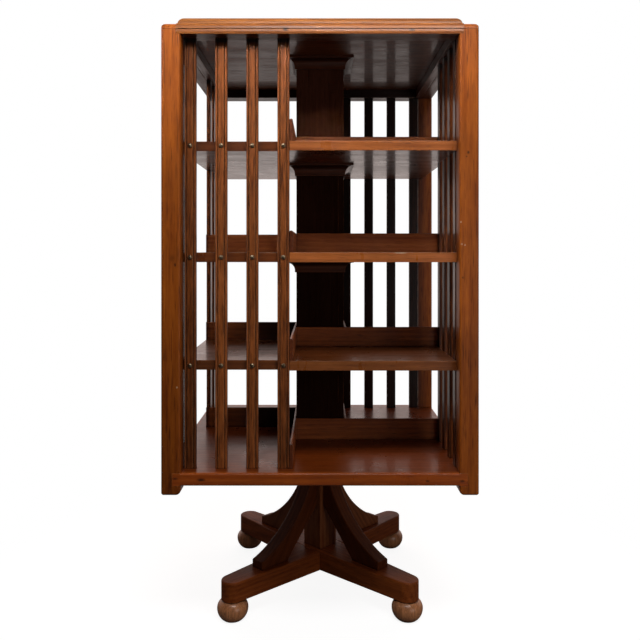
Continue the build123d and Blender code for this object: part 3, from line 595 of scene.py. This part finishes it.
def metalMaterial(name, piece):
    look = dict(metalLook, **piece)
    material, tree = newMaterial(name)
    place = put(tree, "ShaderNodeTexCoord").outputs["Object"]
    wear = useGroup(tree, wearAndCornerShade, {"Vector": place, "Arris": look["arris"], "Corner Reach": look["cornerReach"]})
    patch = noiseLayer(tree, place, look["patch"], scale=look["patchScale"])
    colour = blendColour(tree, patch, opaque(look["bright"]), opaque(look["tarnish"]))
    bare = math2(tree, "MULTIPLY", wear["Rubbed"], look["rubbedShare"])
    colour = blendColour(tree, bare, colour, opaque(look["rubbed"]))
    # grime and painted shade in corners and joins
    cornerDarkening = math2(tree, "MULTIPLY", wear["Grime And Shade"], look["grimeShadeShare"])
    colour = blendColour(tree, cornerDarkening, colour, opaque(look["grimeAndShade"]))
    rough = remap(tree, patch, 0.0, 1.0, look["shine"], look["shine"] + look["tarnishDull"])
    grit = noise(tree, place, look["patchScale"] * look["gritFineness"], look["gritDetail"], look["gritRoughness"])
    bump = put(tree, "ShaderNodeBump", {
        "Height": grit["Fac"], "Normal": wear["Normal"],
        "Strength": look["gritStrength"], "Distance": look["gritDepth"]}).outputs[0]
    shader = put(tree, "ShaderNodeBsdfPrincipled", {
        "Base Color": colour, "Roughness": rough, "Normal": bump, "Metallic": 1.0})
    put(tree, "ShaderNodeOutputMaterial", {"Surface": shader.outputs[0]})
    return material


ironLook = {"bright": (0.16, 0.15, 0.145), "tarnish": (0.06, 0.045, 0.036), "rubbed": (0.32, 0.31, 0.3),
            "patchScale": 120.0, "shine": 0.38, "arris": 0.0008, "cornerReach": 0.005}
iron = metalMaterial("oiledIron", ironLook)
for node in ("spindle", "spindle_flange", "spindle_flange_screws", "guide_collar", "pivot_cup", "case_bearing_screws"):
    dress(node, iron)

# slotted round-head screws through the slats, one at each shelf
screwLook = {"headRadius": 0.0046, "headHeight": 0.0031, "slotWidth": 0.001, "slotFloor": 0.0016,
             "rim": 0.0004, "segments": 40, "steps": 9, "weld": 1e-6, "cut": 1e-7, "sharp": 40.0, "seed": 48,
             "bright": (0.37, 0.28, 0.175), "tarnish": (0.13, 0.088, 0.05), "rubbed": (0.75, 0.66, 0.5),
             "patchScale": 380.0, "shine": 0.28, "arris": 0.0003, "cornerReach": 0.0015}


def cutAcross(mesh, point, normal, reach):
    bmesh.ops.bisect_plane(mesh, geom=mesh.verts[:] + mesh.edges[:] + mesh.faces[:], dist=reach,
                           plane_co=point, plane_no=normal)


def screwHead(look, angle):
    head = bmesh.new()
    rise = look["headHeight"] - look["rim"]
    verts = [head.verts.new((look["headRadius"], 0.0, 0.0))]
    for step in range(look["steps"] + 1):
        slope = math.radians(90.0 * step / look["steps"])
        verts.append(head.verts.new((look["headRadius"] * math.cos(slope), 0.0,
                                     look["rim"] + rise * math.sin(slope))))
    edges = [head.edges.new(pair) for pair in zip(verts, verts[1:])]
    bmesh.ops.spin(head, geom=verts + edges, cent=(0, 0, 0), axis=(0, 0, 1), angle=math.tau,
                   steps=look["segments"], use_merge=True)
    bmesh.ops.remove_doubles(head, verts=head.verts, dist=look["weld"])
    for side in (-1.0, 1.0):
        cutAcross(head, (side * look["slotWidth"] / 2, 0, 0), (1, 0, 0), look["cut"])
    cutAcross(head, (0, 0, look["slotFloor"]), (0, 0, 1), look["cut"])
    band = [f for f in head.faces if abs(f.calc_center_median().x) < look["slotWidth"] / 2
            and f.calc_center_median().z > look["slotFloor"]]
    sunk = bmesh.ops.extrude_face_region(head, geom=band)["geom"]
    bmesh.ops.delete(head, geom=band, context="FACES")
    for v in sunk:
        if isinstance(v, bmesh.types.BMVert):
            v.co.z = look["slotFloor"]
    bmesh.ops.remove_doubles(head, verts=head.verts, dist=look["weld"])
    bmesh.ops.recalc_face_normals(head, faces=head.faces)
    bmesh.ops.rotate(head, verts=head.verts, cent=(0, 0, 0), matrix=Matrix.Rotation(angle, 3, "Z"))
    return head


def addScrews(look):
    dice = random.Random(look["seed"])
    mesh = bpy.data.meshes.new("slatScrewHeads")
    whole = bmesh.new()
    for number, node in enumerate(slatNodes):
        low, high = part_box(node)
        middle = (low + high) / 2
        outward = Vector(faceTurns[number // 4])
        reach = max(abs(low.dot(outward)), abs(high.dot(outward)))
        for shelf in range(1, 4):
            shelfLow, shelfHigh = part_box(f"shelf_{shelf}")
            seat = Vector((middle.x, middle.y, (shelfLow.z + shelfHigh.z) / 2))
            seat += outward * (reach - seat.dot(outward))
            head = screwHead(look, dice.uniform(0.0, math.pi))
            place = Matrix.Translation(seat) @ outward.to_track_quat("Z", "Y").to_matrix().to_4x4()
            bmesh.ops.transform(head, matrix=place, verts=head.verts)
            part = bpy.data.meshes.new("oneHead")
            head.to_mesh(part)
            head.free()
            whole.from_mesh(part)
            bpy.data.meshes.remove(part)
    for face in whole.faces:
        face.smooth = True
    whole.to_mesh(mesh)
    whole.free()
    mesh.set_sharp_from_angle(angle=math.radians(look["sharp"]))
    screws = bpy.data.objects.new("slatScrewHeads", mesh)
    bpy.context.scene.collection.objects.link(screws)
    mesh.materials.append(metalMaterial("agedBrass", look))
    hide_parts("slat_screws")
    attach(screws, "case")


addScrews(screwLook)
print("screw heads set")

# pale floor that runs out to white; polished undersides mirror its bright part behind
floorLook = {"reach": 9.0, "segments": 96, "pale": (0.36, 0.36, 0.355), "dull": 0.9, "specular": 0.1,
             "lift": 0.9, "clearFrom": 0.34, "clearTo": 0.85, "bounce": (0.2, 0.2, 0.2),
             "mirror": 0.6, "mirrored": (1.0, 0.88, 0.83), "mirrorFrom": 0.3, "mirrorTo": 0.6}


def addFloor(look):
    bed = bmesh.new()
    bmesh.ops.create_circle(bed, cap_ends=True, segments=look["segments"], radius=look["reach"])
    mesh = bpy.data.meshes.new("studioFloor")
    bed.to_mesh(mesh)
    bed.free()
    floor = bpy.data.objects.new("studioFloor", mesh)
    bpy.context.scene.collection.objects.link(floor)
    material, tree = newMaterial("studioFloorPaint")
    place = put(tree, "ShaderNodeTexCoord").outputs["Object"]
    away = vectorMath(tree, "LENGTH", place)
    clear = remap(tree, away, look["clearFrom"], look["clearTo"], how="SMOOTHSTEP")
    paint = put(tree, "ShaderNodeBsdfPrincipled", {
        "Base Color": opaque(look["pale"]), "Roughness": look["dull"], "Specular IOR Level": look["specular"],
        "Emission Color": opaque(white), "Emission Strength": look["lift"]}).outputs[0]
    blank = put(tree, "ShaderNodeEmission", {"Color": opaque(white), "Strength": 1.0}).outputs[0]
    seen = blendShader(tree, clear, paint, blank)
    grey = put(tree, "ShaderNodeBsdfDiffuse", {"Color": opaque(look["bounce"])}).outputs[0]
    mirror = put(tree, "ShaderNodeEmission", {"Color": opaque(look["mirrored"]), "Strength": look["mirror"]}).outputs[0]
    rays = put(tree, "ShaderNodeLightPath").outputs
    behind = remap(tree, axesOf(tree, place)["Y"], look["mirrorFrom"], look["mirrorTo"])
    bounced = blendShader(tree, math2(tree, "MULTIPLY", rays["Is Glossy Ray"], behind), grey, mirror)
    both = blendShader(tree, rays["Is Camera Ray"], bounced, seen)
    put(tree, "ShaderNodeOutputMaterial", {"Surface": both})
    mesh.materials.append(material)


addFloor(floorLook)

# bright studio behind, dim room in front
roomLook = {"front": (0.014, 0.0138, 0.0135), "back": (0.84, 0.7, 0.655), "from": -0.1, "to": 0.7}


def addRoom(look):
    world = bpy.data.worlds.new("studio")
    bpy.context.scene.world = world
    world.use_nodes = True
    tree = world.node_tree
    tree.nodes.clear()
    way = put(tree, "ShaderNodeTexCoord").outputs["Generated"]
    behind = remap(tree, axesOf(tree, way)["Y"], look["from"], look["to"], how="SMOOTHSTEP")
    colour = blendColour(tree, behind, opaque(look["front"]), opaque(look["back"]))
    room = put(tree, "ShaderNodeBackground", {"Color": colour, "Strength": 1.0}).outputs[0]
    blank = put(tree, "ShaderNodeBackground", {"Color": opaque(white), "Strength": 1.0}).outputs[0]
    seen = put(tree, "ShaderNodeLightPath").outputs["Is Camera Ray"]
    put(tree, "ShaderNodeOutputWorld", {"Surface": blendShader(tree, seen, room, blank)})


addRoom(roomLook)

# soft boxes: the key is gridded so that its light falls off down the case,
# and the small one warms the foot of the top tier's column
softBoxes = [
    {"name": "keyBox", "place": (0.14, -1.05, 1.82), "faces": (0.0, 0.0, 1.2),
     "width": 0.9, "height": 0.5, "power": 6.7, "spread": 120.0},
    {"name": "leftBox", "place": (-1.05, -1.0, 1.78), "faces": (0.0, 0.0, 1.18),
     "width": 0.5, "height": 0.5, "power": 1.7, "spread": 58.0},
    {"name": "columnBox", "place": (0.0, -2.3, 1.88), "faces": (0.0, -0.0535, 1.058),
     "width": 0.08, "height": 0.05, "power": 0.015, "spread": 4.2},
    {"name": "rightBox", "place": (1.3, -2.0, 0.6), "faces": (0.0, 0.0, 0.5),
     "width": 1.0, "height": 0.9, "power": 6.4, "spread": 180.0},
]
for box in softBoxes:
    lamp = bpy.data.lights.new(box["name"], "AREA")
    lamp.shape = "RECTANGLE"
    lamp.size, lamp.size_y = box["width"], box["height"]
    lamp.energy = box["power"]
    lamp.spread = math.radians(box["spread"])
    holder = bpy.data.objects.new(box["name"], lamp)
    aim = Vector(box["faces"]) - Vector(box["place"])
    holder.matrix_world = Matrix.Translation(box["place"]) @ aim.to_track_quat("-Z", "Y").to_matrix().to_4x4()
    bpy.context.scene.collection.objects.link(holder)
print("studio set")

# camera as the photograph was taken: level, a little over half the case's height
cameraView = {"place": (0.0, -1.6575, 0.76455), "sensor": 36.0, "lens": 39.74, "rise": -0.1068, "nearest": 0.05}
optics = bpy.data.cameras.new("photoCamera")
optics.sensor_width = cameraView["sensor"]
optics.lens = cameraView["lens"]
optics.shift_y = cameraView["rise"]
optics.clip_start = cameraView["nearest"]
camera = bpy.data.objects.new("photoCamera", optics)
camera.location = cameraView["place"]
camera.rotation_euler = (math.radians(90.0), 0.0, 0.0)
bpy.context.scene.collection.objects.link(camera)
bpy.context.scene.camera = camera
bpy.context.scene.view_settings.view_transform = "Standard"
print("camera set")
